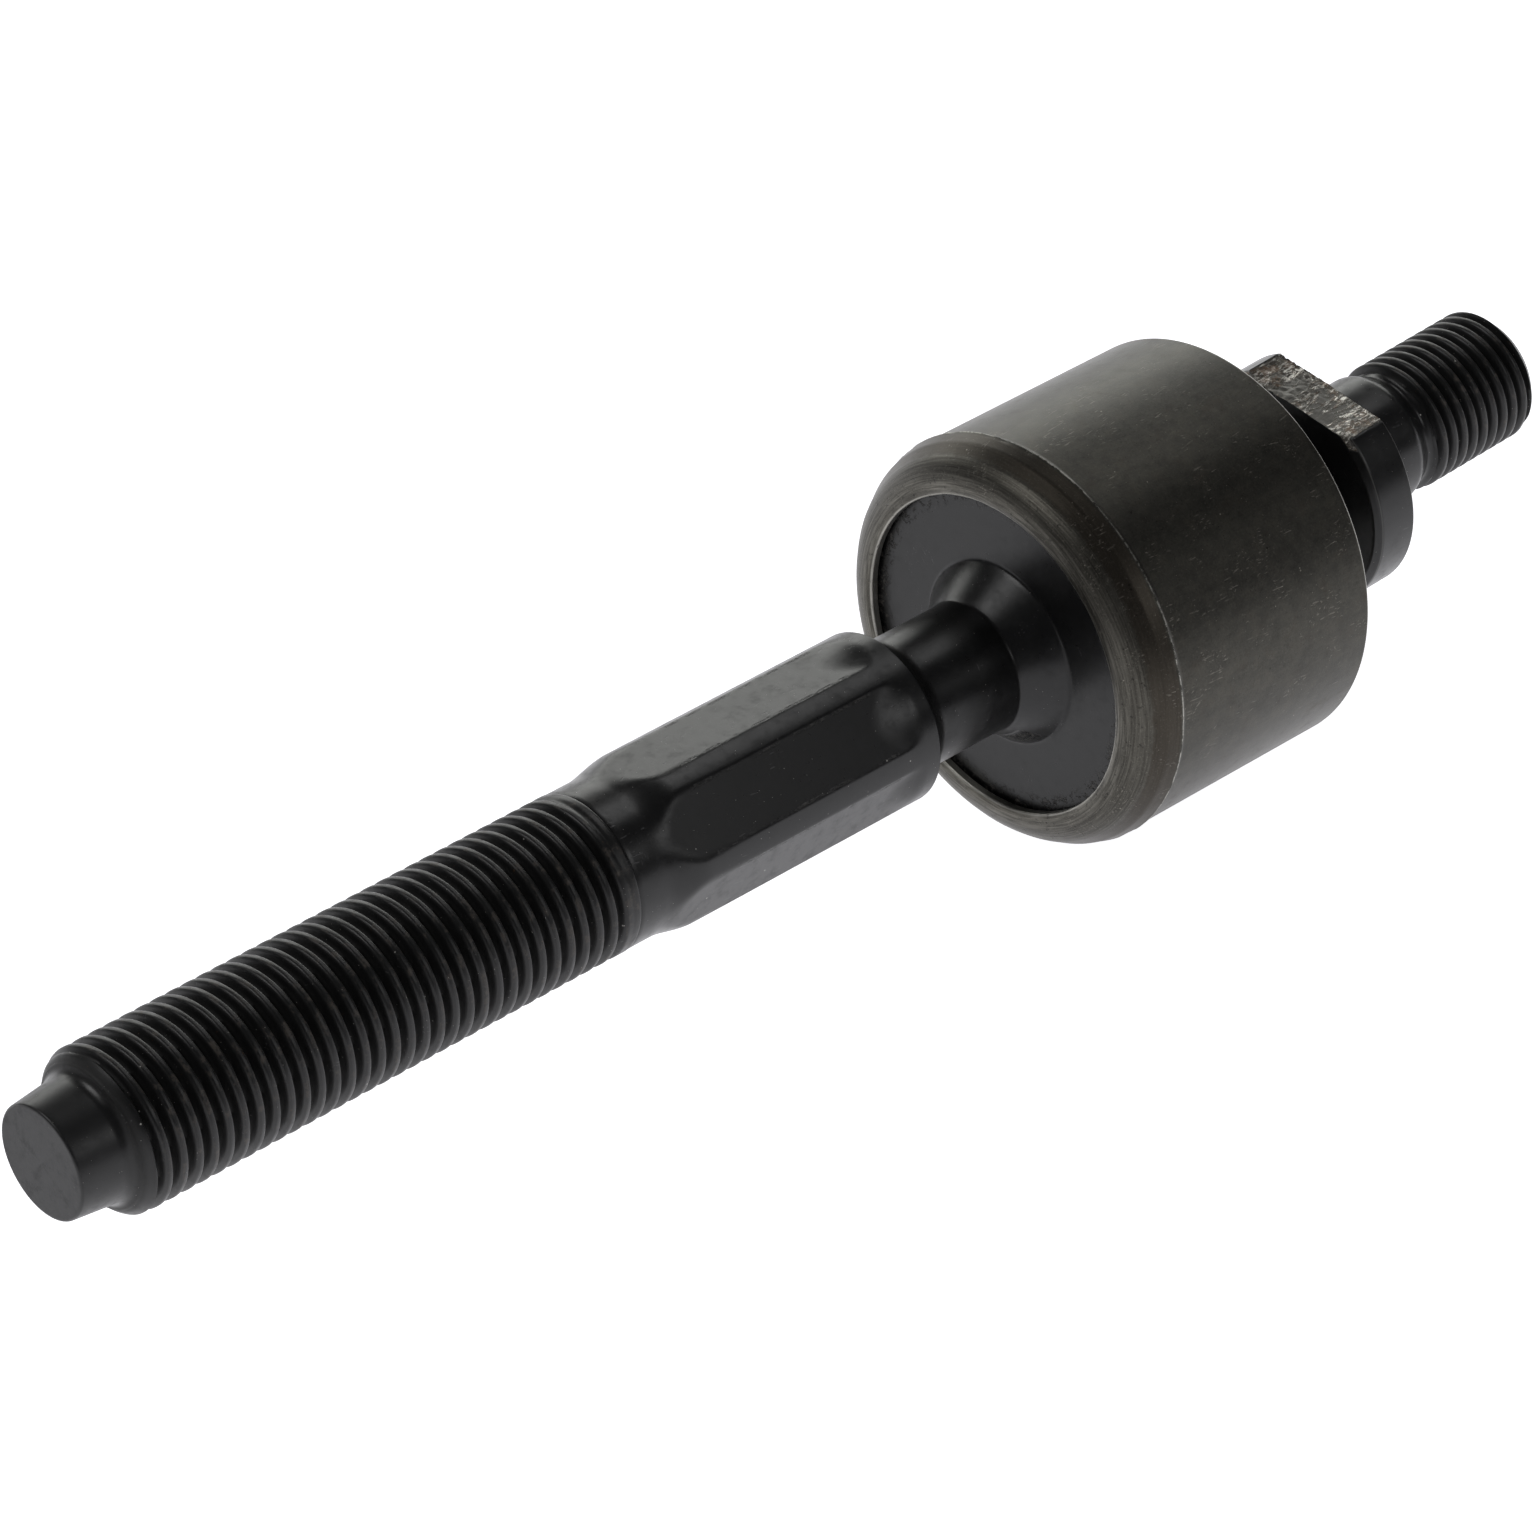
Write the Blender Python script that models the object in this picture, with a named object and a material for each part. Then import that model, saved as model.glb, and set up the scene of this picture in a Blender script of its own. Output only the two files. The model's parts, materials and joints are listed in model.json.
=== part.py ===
"""Inner tie rod end with an axial ball joint, modelled piece by piece.

The tie rod is one forging: a threaded rod, a hexagon, a neck and a round closing flange. Its flange is
rolled into the rear of a round housing, which holds a ball stud between two plastic seats under a disc
spring. The frame's origin is the centre of the rod's tip face, +X runs along the rod to the stud, +Z is up.
"""

import math

import bpy
from mathutils import Matrix, Vector

MM = 0.001
GAP = 0.3  # clearance between neighbouring pieces

# Driving dimensions, in millimetres. Distances along the rod are measured from its tip.
ROD_MAJOR_R = 7.0  # M14 x 1.5
ROD_PITCH = 1.5
ROD_THREAD = (4.6, 52.2)
DOG_TIP_R = 4.9
DOG_ROOT_R = 5.25
DOG_LENGTH = 3.1
DOG_EDGE = 0.25
DOG_FILLET = 1.1
THREAD_LEAD_IN = 1.5  # length of the cone at the thread's first turns
RELIEF_R = 6.7  # where the thread's last turn runs out
RELIEF_LENGTH = 2.7
SHANK_R = 7.0
SHANK_END = 57.7
HEX_R = 7.58
HEX_START = 61.4
HEX_END = 86.9
HEX_FLAT = 7.0  # 14 mm across flats
HEX_FLAT_END = 82.1
HEX_CUTTER_R = 8.0
HEX_FACE_ANGLE = 143.2
HEX_END_EDGE = 0.3
NECK_R = 5.8
NECK_FILLET = 0.5
BOSS_START = 97.8
BOSS_KNEE = (99.0, 6.35)
BOSS_R = 8.25
FLANGE_FRONT = 101.1
FLANGE_THICKNESS = 2.8
FLANGE_R = 15.7
SEAL_SECTION_R = 0.55

HOUSING_R = 18.25
LIP_R = 14.3
LIP_FRONT = 100.0
LIP_EDGE = 0.15
LIP_ROUND_R = 3.05
LIP_CREASE = (101.3, 17.3)
LIP_KNEE = (102.6, 18.07)
SHOULDER = (103.9, 18.45)  # a fine ridge where the rolled lip ends
SHOULDER_WIDTH = 0.4
HOUSING_REAR = 126.5
REAR_CHAMFER = 0.4
BORE_R = 14.6
MOUTH_R = 9.8
MOUTH_LAND = 0.6
FLARE_R = 11.8

BALL_X = 116.2
BALL_R = 10.0
BORE_END = BALL_X + 2.3
MOUTH_X = BALL_X + 7.8
SEAT_WALL = 1.7
SPRING_INNER_R = 8.7
SPRING_THICKNESS = 0.8
SPRING_CONE = 0.5  # how far the spring's outer edge stands behind its inner edge
CUP_INNER_R = 8.2
CUP_CLEARANCE = 0.8
CUP_RECESS_ARC = (154, 107)  # these arcs are in degrees about the ball's centre, from +X
FRONT_SEAT_ARC = (158, 125)
REAR_SEAT_ARC = (96, 55)
STUD_REST_TILT = 3.48  # degrees from the rod's axis
STUD_TILT_SIDE = 102.8  # degrees from +Y towards +Z of the side that the stud leans to
STUD_NECK_R = 5.6
NECK_FLARE = 1.0
COLLAR_FRONT = 19.4  # these lengths are measured from the ball's centre
COLLAR_REAR = 23.75
COLLAR_R = 10.85
COLLAR_CHAMFER = 0.5
COLLAR_FLAT = 9.0  # 18 mm across flats
COLLAR_FLAT_ANGLE = 96.9
COLLAR_FILLET = 0.3
STUD_SHANK_R = 5.95
STUD_MAJOR_R = 6.0  # M12 x 1.25
STUD_PITCH = 1.25
STUD_THREAD = (32.3, 44.9)
STUD_RELIEF = (30.7, 31.4)  # where the groove before the thread starts, and where it is at full depth
STUD_END_CHAMFER = 1.0

ROD_SEGMENTS = 24
HOUSING_SEGMENTS = 48
INNER_SEGMENTS = 28
THREAD_DEPTH = 0.613  # of the pitch
STATIONS_PER_PITCH = 3


def new_material(name, colour, roughness, metallic):
    material = bpy.data.materials.new(name)
    material.use_nodes = True
    shader = material.node_tree.nodes["Principled BSDF"]
    shader.inputs["Base Color"].default_value = (*colour, 1.0)
    shader.inputs["Roughness"].default_value = roughness
    shader.inputs["Metallic"].default_value = metallic
    material.diffuse_color = (*colour, 1.0)
    return material


def new_object(name, points, faces, material):
    """A mesh object from points in millimetres."""
    mesh = bpy.data.meshes.new(name)
    mesh.from_pydata([Vector(point) * MM for point in points], [], faces)
    mesh.materials.append(material)
    mesh.shade_smooth()
    mesh.set_sharp_from_angle(angle=math.radians(35))
    obj = bpy.data.objects.new(name, mesh)
    bpy.context.scene.collection.objects.link(obj)
    return obj


def circle_angles(segments, first):
    return [math.radians(first) + 2 * math.pi * k / segments for k in range(segments)]


def on_circle(x, radius, angle):
    return (x, radius * math.cos(angle), radius * math.sin(angle))


def solid_turning(name, profile, radius_at, angles, material):
    """A solid bar about X. radius_at(x, radius, angle) trims the profile's radius at one point."""
    count = len(angles)
    points = [on_circle(x, radius_at(x, radius, a), a) for x, radius in profile for a in angles]
    faces = [tuple(reversed(range(count)))]
    for ring in range(len(profile) - 1):
        for k in range(count):
            here, there = ring * count + k, ring * count + (k + 1) % count
            faces.append((here, there, there + count, here + count))
    faces.append(tuple(range(len(points) - count, len(points))))
    return new_object(name, points, faces, material)


def ring_turning(name, loop, segments, material):
    """A ring about X. Its closed loop of (x, radius) runs anticlockwise, with +X right and radius up."""
    angles = circle_angles(segments, 0.0)
    points = [on_circle(x, radius, a) for x, radius in loop for a in angles]
    faces = []
    for i in range(len(loop)):
        after = (i + 1) % len(loop)
        for k in range(segments):
            k_next = (k + 1) % segments
            corners = (i * segments + k_next, i * segments + k)
            faces.append((*corners, after * segments + k, after * segments + k_next))
    return new_object(name, points, faces, material)


def arc(centre_x, centre_r, radius, start, end, steps):
    """Points of an arc in the (x, radius) plane. Angles are in degrees from +X towards larger radii."""
    angles = [math.radians(start + (end - start) * i / steps) for i in range(steps + 1)]
    return [(centre_x + radius * math.cos(a), centre_r + radius * math.sin(a)) for a in angles]


def straight(first, last, steps):
    """Points from first to last along a straight line, both ends included."""
    shares = [i / steps for i in range(steps + 1)]
    return [(first[0] + t * (last[0] - first[0]), first[1] + t * (last[1] - first[1])) for t in shares]


def thread_stations(start, end, pitch, outline):
    """Evenly spaced stations along a thread, with the radius that outline(x) allows there."""
    count = round((end - start) / pitch * STATIONS_PER_PITCH)
    spots = [start + (end - start) * i / count for i in range(count + 1)]
    return [(x, outline(x)) for x in spots]


def thread_radius(x, radius, angle, pitch, major_r):
    """A right-hand thread with flat crests and roots, cut into a bar of this radius."""
    phase = (x / pitch - angle / (2 * math.pi)) % 1.0
    height = min(max(3.0 * abs(phase - 0.5) - 0.25, 0.0), 1.0)
    return min(radius, major_r - THREAD_DEPTH * pitch * (1.0 - height))


def flat_radius(radius, angle, distance, face_angles):
    """The bar's radius after flats at this distance from the axis, facing face_angles."""
    for face in face_angles:
        across = math.cos(angle - math.radians(face))
        if across > 0.1:
            radius = min(radius, distance / across)
    return radius


def make_tie_rod(material):
    minor_r = ROD_MAJOR_R - THREAD_DEPTH * ROD_PITCH
    hex_faces = [HEX_FACE_ANGLE + 60 * i for i in range(6)]
    flange_rear = FLANGE_FRONT + FLANGE_THICKNESS
    groove_x = FLANGE_FRONT + FLANGE_THICKNESS / 2
    groove_half = SEAL_SECTION_R + GAP
    groove_r = FLANGE_R - 2 * groove_half
    first_r = minor_r - GAP

    def thread_outline(x):
        share = min((x - ROD_THREAD[0]) / THREAD_LEAD_IN, 1.0)
        return first_r + share * (ROD_MAJOR_R - first_r)

    def radius_at(x, radius, angle):
        if ROD_THREAD[0] < x < ROD_THREAD[1]:
            return thread_radius(x, radius, angle, ROD_PITCH, ROD_MAJOR_R)
        if SHANK_END <= x < HEX_END:
            past = min(max(x - HEX_FLAT_END, 0.0), HEX_CUTTER_R)
            rise = HEX_CUTTER_R - math.sqrt(HEX_CUTTER_R**2 - past**2)
            return flat_radius(radius, angle, HEX_FLAT + rise, hex_faces)
        return radius

    profile = [(0.0, DOG_TIP_R - DOG_EDGE), (DOG_EDGE, DOG_TIP_R), (DOG_LENGTH, DOG_ROOT_R)]
    profile += [(DOG_LENGTH + DOG_FILLET, first_r)]
    profile += thread_stations(*ROD_THREAD, ROD_PITCH, thread_outline)
    profile += [(ROD_THREAD[1] + RELIEF_LENGTH / 3, RELIEF_R), (ROD_THREAD[1] + RELIEF_LENGTH, SHANK_R)]
    profile += straight((SHANK_END, SHANK_R), (HEX_START, HEX_R), 4)
    profile += straight((HEX_FLAT_END, HEX_R), (HEX_END - HEX_END_EDGE, HEX_R), 5)
    profile += [(HEX_END, HEX_R - HEX_END_EDGE), (HEX_END, NECK_R + NECK_FILLET)]
    profile += [(HEX_END + NECK_FILLET, NECK_R), (BOSS_START, NECK_R), BOSS_KNEE, (FLANGE_FRONT, BOSS_R)]
    profile += [(FLANGE_FRONT, FLANGE_R), (groove_x - groove_half, FLANGE_R)]
    profile += [(groove_x - groove_half, groove_r), (groove_x + groove_half, groove_r)]
    profile += [(groove_x + groove_half, FLANGE_R), (flange_rear, FLANGE_R)]
    angles = circle_angles(ROD_SEGMENTS, HEX_FACE_ANGLE + 180 / ROD_SEGMENTS)
    return solid_turning("tie_rod", profile, radius_at, angles, material)


def make_housing(material):
    flange_rear = FLANGE_FRONT + FLANGE_THICKNESS
    lip_back = FLANGE_FRONT - GAP
    counterbore_r = FLANGE_R + GAP
    lip_round = arc(LIP_FRONT + LIP_ROUND_R, LIP_CREASE[1] - LIP_ROUND_R * 0.82, LIP_ROUND_R, 180, 125, 5)
    loop = [(lip_back, LIP_R), (LIP_FRONT + LIP_EDGE, LIP_R)] + lip_round
    loop += [LIP_CREASE, LIP_KNEE, SHOULDER, (SHOULDER[0] + SHOULDER_WIDTH, HOUSING_R)]
    loop += [(HOUSING_REAR - REAR_CHAMFER, HOUSING_R), (HOUSING_REAR, HOUSING_R - REAR_CHAMFER)]
    loop += [(HOUSING_REAR, FLARE_R), (MOUTH_X + MOUTH_LAND, MOUTH_R), (MOUTH_X, MOUTH_R)]
    loop += [(BORE_END, BORE_R), (flange_rear + GAP, BORE_R)]
    loop += [(flange_rear + GAP, counterbore_r), (lip_back, counterbore_r)]
    return ring_turning("housing", loop[::-1], HOUSING_SEGMENTS, material)


def make_seal_ring(material):
    centre_x = FLANGE_FRONT + FLANGE_THICKNESS / 2
    centre_r = FLANGE_R - SEAL_SECTION_R - GAP / 3
    loop = arc(centre_x, centre_r, SEAL_SECTION_R, 0, 324, 9)
    return ring_turning("seal_ring", loop, 48, material)


def make_disc_spring(material):
    front = FLANGE_FRONT + FLANGE_THICKNESS + GAP
    outer_r = BORE_R - GAP
    loop = [(front, SPRING_INNER_R), (front + SPRING_THICKNESS, SPRING_INNER_R)]
    loop += [(front + SPRING_THICKNESS + SPRING_CONE, outer_r), (front + SPRING_CONE, outer_r)]
    return ring_turning("disc_spring", loop, INNER_SEGMENTS, material)


def make_pressure_cup(material):
    flange_rear = FLANGE_FRONT + FLANGE_THICKNESS
    front = flange_rear + CUP_CLEARANCE
    step_x = flange_rear + GAP + SPRING_THICKNESS + SPRING_CONE + GAP
    recess = arc(BALL_X, 0.0, BALL_R + GAP + SEAT_WALL + GAP, *CUP_RECESS_ARC, 8)
    outer_r = BORE_R - GAP
    loop = [(front, recess[0][1])] + recess
    loop += [(recess[-1][0], outer_r), (step_x, outer_r), (step_x, CUP_INNER_R), (front, CUP_INNER_R)]
    return ring_turning("pressure_cup", loop, INNER_SEGMENTS, material)


def make_front_seat(material):
    inner_r = BALL_R + GAP
    loop = arc(0.0, 0.0, inner_r, *FRONT_SEAT_ARC, 6)
    loop += arc(0.0, 0.0, inner_r + SEAT_WALL, *reversed(FRONT_SEAT_ARC), 6)
    return ring_turning("front_seat", loop, INNER_SEGMENTS, material)


def make_rear_seat(material):
    inner = arc(BALL_X, 0.0, BALL_R + GAP, *REAR_SEAT_ARC, 8)
    slope = (BORE_R - MOUTH_R) / (MOUTH_X - BORE_END)
    outer_r = BORE_R - GAP
    end_x = inner[-1][0] + 2 * GAP
    end_r = BORE_R - (end_x - BORE_END) * slope - GAP * math.hypot(1, slope)
    loop = inner + [(end_x, end_r), (BORE_END - GAP / 3, outer_r), (inner[0][0], outer_r)]
    return ring_turning("rear_seat", loop, INNER_SEGMENTS, material)


def make_ball_stud(material):
    """The stud along +X with its ball's centre at the origin."""
    minor_r = STUD_MAJOR_R - THREAD_DEPTH * STUD_PITCH
    ball_end = math.degrees(math.asin(STUD_NECK_R / BALL_R))
    chamfer_start = STUD_THREAD[1] - STUD_END_CHAMFER

    def thread_outline(x):
        taper_in = STUD_MAJOR_R - 0.5 * max(1.0 - (x - STUD_THREAD[0]) / STUD_PITCH, 0.0)
        taper_out = STUD_MAJOR_R - max(x - chamfer_start, 0.0)
        return min(taper_in, taper_out)

    def radius_at(x, radius, angle):
        if STUD_THREAD[0] < x < STUD_THREAD[1]:
            return thread_radius(x, radius, angle, STUD_PITCH, STUD_MAJOR_R)
        if COLLAR_FRONT <= x <= COLLAR_REAR:
            faces = (COLLAR_FLAT_ANGLE, COLLAR_FLAT_ANGLE + 180)
            return flat_radius(radius, angle, COLLAR_FLAT, faces)
        return radius

    profile = arc(0.0, 0.0, BALL_R, 170, ball_end, 14)
    profile += [(COLLAR_FRONT - NECK_FLARE, STUD_NECK_R), (COLLAR_FRONT, STUD_NECK_R + NECK_FLARE)]
    profile += [(COLLAR_FRONT, COLLAR_R - COLLAR_CHAMFER), (COLLAR_FRONT + COLLAR_CHAMFER, COLLAR_R)]
    profile += [(COLLAR_REAR, COLLAR_R), (COLLAR_REAR, STUD_SHANK_R + COLLAR_FILLET)]
    profile += [(COLLAR_REAR + COLLAR_FILLET, STUD_SHANK_R), (STUD_RELIEF[0], STUD_SHANK_R)]
    profile += [(STUD_RELIEF[1], minor_r)]
    profile += thread_stations(*STUD_THREAD, STUD_PITCH, thread_outline)
    angles = circle_angles(ROD_SEGMENTS, COLLAR_FLAT_ANGLE + 180 / ROD_SEGMENTS)
    return solid_turning("ball_stud", profile, radius_at, angles, material)


def tilt_about_ball():
    """The stud's rest place: at the ball's centre, leaning a little off the rod's axis."""
    side = math.radians(STUD_TILT_SIDE)
    hinge = Vector((1, 0, 0)).cross(Vector((0, math.cos(side), math.sin(side))))
    lean = Matrix.Rotation(math.radians(STUD_REST_TILT), 4, hinge)
    return Matrix.Translation((BALL_X * MM, 0, 0)) @ lean


def main():
    for obj in list(bpy.data.objects):
        bpy.data.objects.remove(obj)
    black_paint = new_material("black_paint", (0.012, 0.012, 0.013), 0.32, 0.0)
    dark_steel = new_material("dark_steel", (0.055, 0.05, 0.045), 0.45, 0.8)
    white_plastic = new_material("acetal", (0.78, 0.77, 0.72), 0.4, 0.0)
    spring_steel = new_material("spring_steel", (0.25, 0.25, 0.27), 0.35, 1.0)
    rubber = new_material("rubber", (0.02, 0.02, 0.02), 0.7, 0.0)

    make_tie_rod(black_paint)
    make_housing(dark_steel)
    make_seal_ring(rubber)
    make_disc_spring(spring_steel)
    make_pressure_cup(spring_steel)
    make_rear_seat(white_plastic)
    for leaning in (make_front_seat(white_plastic), make_ball_stud(black_paint)):
        leaning.matrix_world = tilt_about_ball()


main()
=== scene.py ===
"""The looks of an inner tie rod end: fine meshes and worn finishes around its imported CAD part."""

import json
import math

import bpy
import numpy as np
from mathutils import Euler, Matrix, Vector, noise


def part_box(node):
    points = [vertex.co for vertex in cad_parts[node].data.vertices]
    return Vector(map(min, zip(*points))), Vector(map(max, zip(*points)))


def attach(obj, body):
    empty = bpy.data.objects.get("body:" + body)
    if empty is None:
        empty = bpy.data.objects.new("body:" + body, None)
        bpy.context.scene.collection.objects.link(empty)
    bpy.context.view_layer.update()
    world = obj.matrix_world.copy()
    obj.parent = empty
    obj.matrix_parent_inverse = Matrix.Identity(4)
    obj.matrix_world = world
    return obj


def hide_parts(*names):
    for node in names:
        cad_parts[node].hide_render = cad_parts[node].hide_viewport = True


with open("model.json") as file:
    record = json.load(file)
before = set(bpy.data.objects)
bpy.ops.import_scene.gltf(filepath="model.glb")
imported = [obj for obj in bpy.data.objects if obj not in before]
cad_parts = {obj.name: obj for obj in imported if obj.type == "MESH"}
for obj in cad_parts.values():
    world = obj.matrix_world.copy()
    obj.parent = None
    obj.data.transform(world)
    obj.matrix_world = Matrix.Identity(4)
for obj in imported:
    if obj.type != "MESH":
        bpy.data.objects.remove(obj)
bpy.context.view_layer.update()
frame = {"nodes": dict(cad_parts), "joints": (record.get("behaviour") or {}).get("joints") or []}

MM = 0.001

# The frame's own places, in millimetres.
joints = {joint["name"]: joint for joint in frame["joints"]}
BALL_CENTRE = Vector(joints["stud_spin"]["pos_m"]) / MM
STUD_AXIS = Vector(joints["stud_spin"]["axis"])
ROD_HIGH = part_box("tie_rod")[1] / MM
HOUSING_LOW, HOUSING_HIGH = (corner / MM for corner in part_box("housing"))
FLOOR_Z = HOUSING_LOW.z - 3.0  # clear of the stud at the end of its tilt

# Rod, in millimetres from its tip along X.
DOG_TIP_R = 4.9
DOG_ROOT_R = 5.26
DOG_FILLET_R = 1.15
DOG_LENGTH = 3.6
THREAD_START = 4.78
THREAD_FULL = 6.3  # the first turn has its whole depth from here
THREAD_FADE = (52.2, 53.9)  # the last turn runs out between these
ROD_MAJOR_R = 6.98
ROD_PITCH = 1.5
SHANK_START = 54.4
SHANK_R = 6.93
SHANK_END = 57.3
HEX_START = 61.5
HEX_ROUNDED_END = 64.5  # the flats' soft front ends lie before this
HEX_R = 7.57
HEX_FLAT = 7.0
HEX_FACE_ANGLE = 143.2
SCOOP_START = 81.0  # each flat ends in a scoop, which starts here on the flat's middle line
SCOOP_BOW = 0.27  # it starts later by this times the squared distance from that line
SCOOP_RISE = 0.034  # it rises by this times the squared distance past its start
HEX_END = 86.9
NECK_R = 5.8
NECK_FILLET_R = 2.3
BOSS_START = 97.5
BOSS_FILLET_R = 0.7
FLANGE_FRONT = 101.1
BOSS_R = 8.25
BOSS_FOOT_R = 0.55
FLANGE_R = ROD_HIGH.z
GROOVE_X = FLANGE_FRONT + 1.4
GROOVE_DEPTH = 1.7
GROOVE_HALF = 0.85

# Housing.
LIP_FRONT = HOUSING_LOW.x
LIP_R = 14.3
LIP_BEND = (LIP_FRONT + 3.05, 14.8, 3.05)  # centre and radius of the rolled lip's bend
LIP_CREASE = (101.3, 17.3)
LIP_KNEE = (102.6, 18.07)
SHOULDER = (103.9, HOUSING_HIGH.z)
HOUSING_R = 18.25
HOUSING_REAR = HOUSING_HIGH.x
BORE_R = 14.6
BORE_END = BALL_CENTRE.x + 2.3
MOUTH_R = 9.8
MOUTH_X = BALL_CENTRE.x + 7.8
FLARE_R = 11.8
GAP = 0.3  # between the housing and the rod's flange
POLISHED_R = (16.6, 14.9)  # the lip is rubbed brighter from the first radius in to the second

# Stud, in millimetres from the ball's centre along its own axis.
BALL_R = 10.0
STUD_NECK_R = 5.6
COLLAR_FRONT = 19.4
COLLAR_REAR = 23.75
COLLAR_R = 10.85
COLLAR_CHAMFER = 0.5
COLLAR_RIM = COLLAR_FRONT + COLLAR_CHAMFER
COLLAR_FLAT = 9.0
COLLAR_FLAT_ANGLE = 96.9
COLLAR_BULGE = 0.16  # the metal pushed up along the torn flat's rear edge
COLLAR_SINK = 0.3  # how far the torn flat sinks towards its far end
STUD_SHANK_R = 5.95
STUD_MAJOR_R = 5.98
STUD_PITCH = 1.25
STUD_THREAD = (32.3, 44.9)
STUD_RELIEF = (29.7, 31.6)
STUD_END_CHAMFER = 1.0

# Both threads. The first three are shares of the pitch.
THREAD_DEPTH = 0.613
ROOT_HALF = 0.045  # half the width of the root's flat
FLANK_WIDTH = 0.33
STATIONS_PER_PITCH = 12
COARSE = 144  # points round the threads and the plain parts of the rod
FINE = 288  # points round the hexagon, the housing, the ball and the collar

PAINT_ROUGHNESS = 0.24
PAINT_SPECULAR = 0.38


# Outlines: lists of (x, radius).


def arc(centre_x, centre_r, radius, start, end, steps):
    """Points of an arc, with its angles in degrees from +X towards larger radii."""
    angles = [math.radians(start + (end - start) * i / steps) for i in range(steps + 1)]
    return [(centre_x + radius * math.cos(a), centre_r + radius * math.sin(a)) for a in angles]


def straight(first, last, spacing):
    """Points about this far apart along a straight line, from first to last."""
    steps = max(1, round(math.dist(first, last) / spacing))
    shares = [i / steps for i in range(steps + 1)]
    return [(between(first[0], last[0], t), between(first[1], last[1], t)) for t in shares]


def stations(first, last, spacing):
    """Places along X about this far apart, from first to last."""
    return [x for x, _ in straight((first, 0.0), (last, 0.0), spacing)]


def between(first, last, share):
    return first + share * (last - first)


def smooth_step(value, low, high):
    """0 at low and 1 at high, with a smooth change between. Low may be the larger."""
    share = min(max((value - low) / (high - low), 0.0), 1.0)
    return share * share * (3 - 2 * share)


def without_repeats(outline):
    return [p for i, p in enumerate(outline) if i == 0 or math.dist(p, outline[i - 1]) > 1e-4]


# Meshes.


def circle_angles(count, first=0.0):
    return math.radians(first) + 2 * math.pi * np.arange(count) / count


def ring_points(x, radius, angles):
    x = np.broadcast_to(x, angles.shape)
    return np.stack([x, radius * np.cos(angles), radius * np.sin(angles)], axis=1)


def bridge(here, there, here_count, there_count):
    """Faces between two rings. The second may have twice the first's points, or half of them."""
    faces = []
    if here_count == there_count:
        for k in range(here_count):
            after = (k + 1) % here_count
            faces.append((here + k, here + after, there + after, there + k))
    elif there_count == 2 * here_count:
        for k in range(here_count):
            after = (k + 1) % here_count
            outer = (there + 2 * after, there + 2 * k + 1, there + 2 * k)
            faces.append((here + k, here + after, *outer))
    else:
        for k in range(there_count):
            after = (k + 1) % there_count
            inner = (here + 2 * k, here + 2 * k + 1, here + 2 * after)
            faces.append((*inner, there + after, there + k))
    return faces


def mesh_object(name, rings, closed, sharp_angle=55):
    """An object from rings of points, in millimetres. An open run has a flat face at each end."""
    starts = np.cumsum([0] + [len(ring) for ring in rings])
    pairs = list(zip(range(len(rings)), range(1, len(rings))))
    faces = []
    if closed:
        pairs.append((len(rings) - 1, 0))
    else:
        faces.append(tuple(reversed(range(len(rings[0])))))
        faces.append(tuple(range(int(starts[-2]), int(starts[-1]))))
    for here, there in pairs:
        faces += bridge(int(starts[here]), int(starts[there]), len(rings[here]), len(rings[there]))
    mesh = bpy.data.meshes.new(name)
    mesh.from_pydata(np.concatenate(rings) * MM, [], faces)
    mesh.shade_smooth()
    mesh.set_sharp_from_angle(angle=math.radians(sharp_angle))
    obj = bpy.data.objects.new(name, mesh)
    bpy.context.scene.collection.objects.link(obj)
    return obj


def thread_height(x, angles, pitch):
    """0 in the root and 1 on the crest of a right-hand thread, with rounded corners."""
    phase = (x / pitch - angles / (2 * np.pi)) % 1.0
    rise = np.clip((np.abs(phase - 0.5) - ROOT_HALF) / FLANK_WIDTH, 0.0, 1.0)
    return 0.35 * rise + 0.65 * np.sin(rise * np.pi / 2) ** 1.4


def flat_cut(radius, angles, distance, face_angle, soft=0.0):
    """The radii left by a flat this far from the axis, with edges rounded over by about soft."""
    across = np.cos(angles - math.radians(face_angle))
    flat = distance / np.maximum(across, 0.1)
    sharp = np.minimum(radius, flat)
    rounded = np.maximum(soft - np.abs(radius - flat), 0.0) ** 2 / (4 * soft) if soft else 0.0
    return np.where(across > 0.1, sharp - rounded, radius)


def wobble(angles, scale, seed):
    """A smooth value from about -1 to 1 for each angle, which meets itself after a full turn."""
    circle = [(math.cos(a) * scale, math.sin(a) * scale, seed) for a in angles]
    return np.array([noise.noise(Vector(point)) for point in circle])


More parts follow.
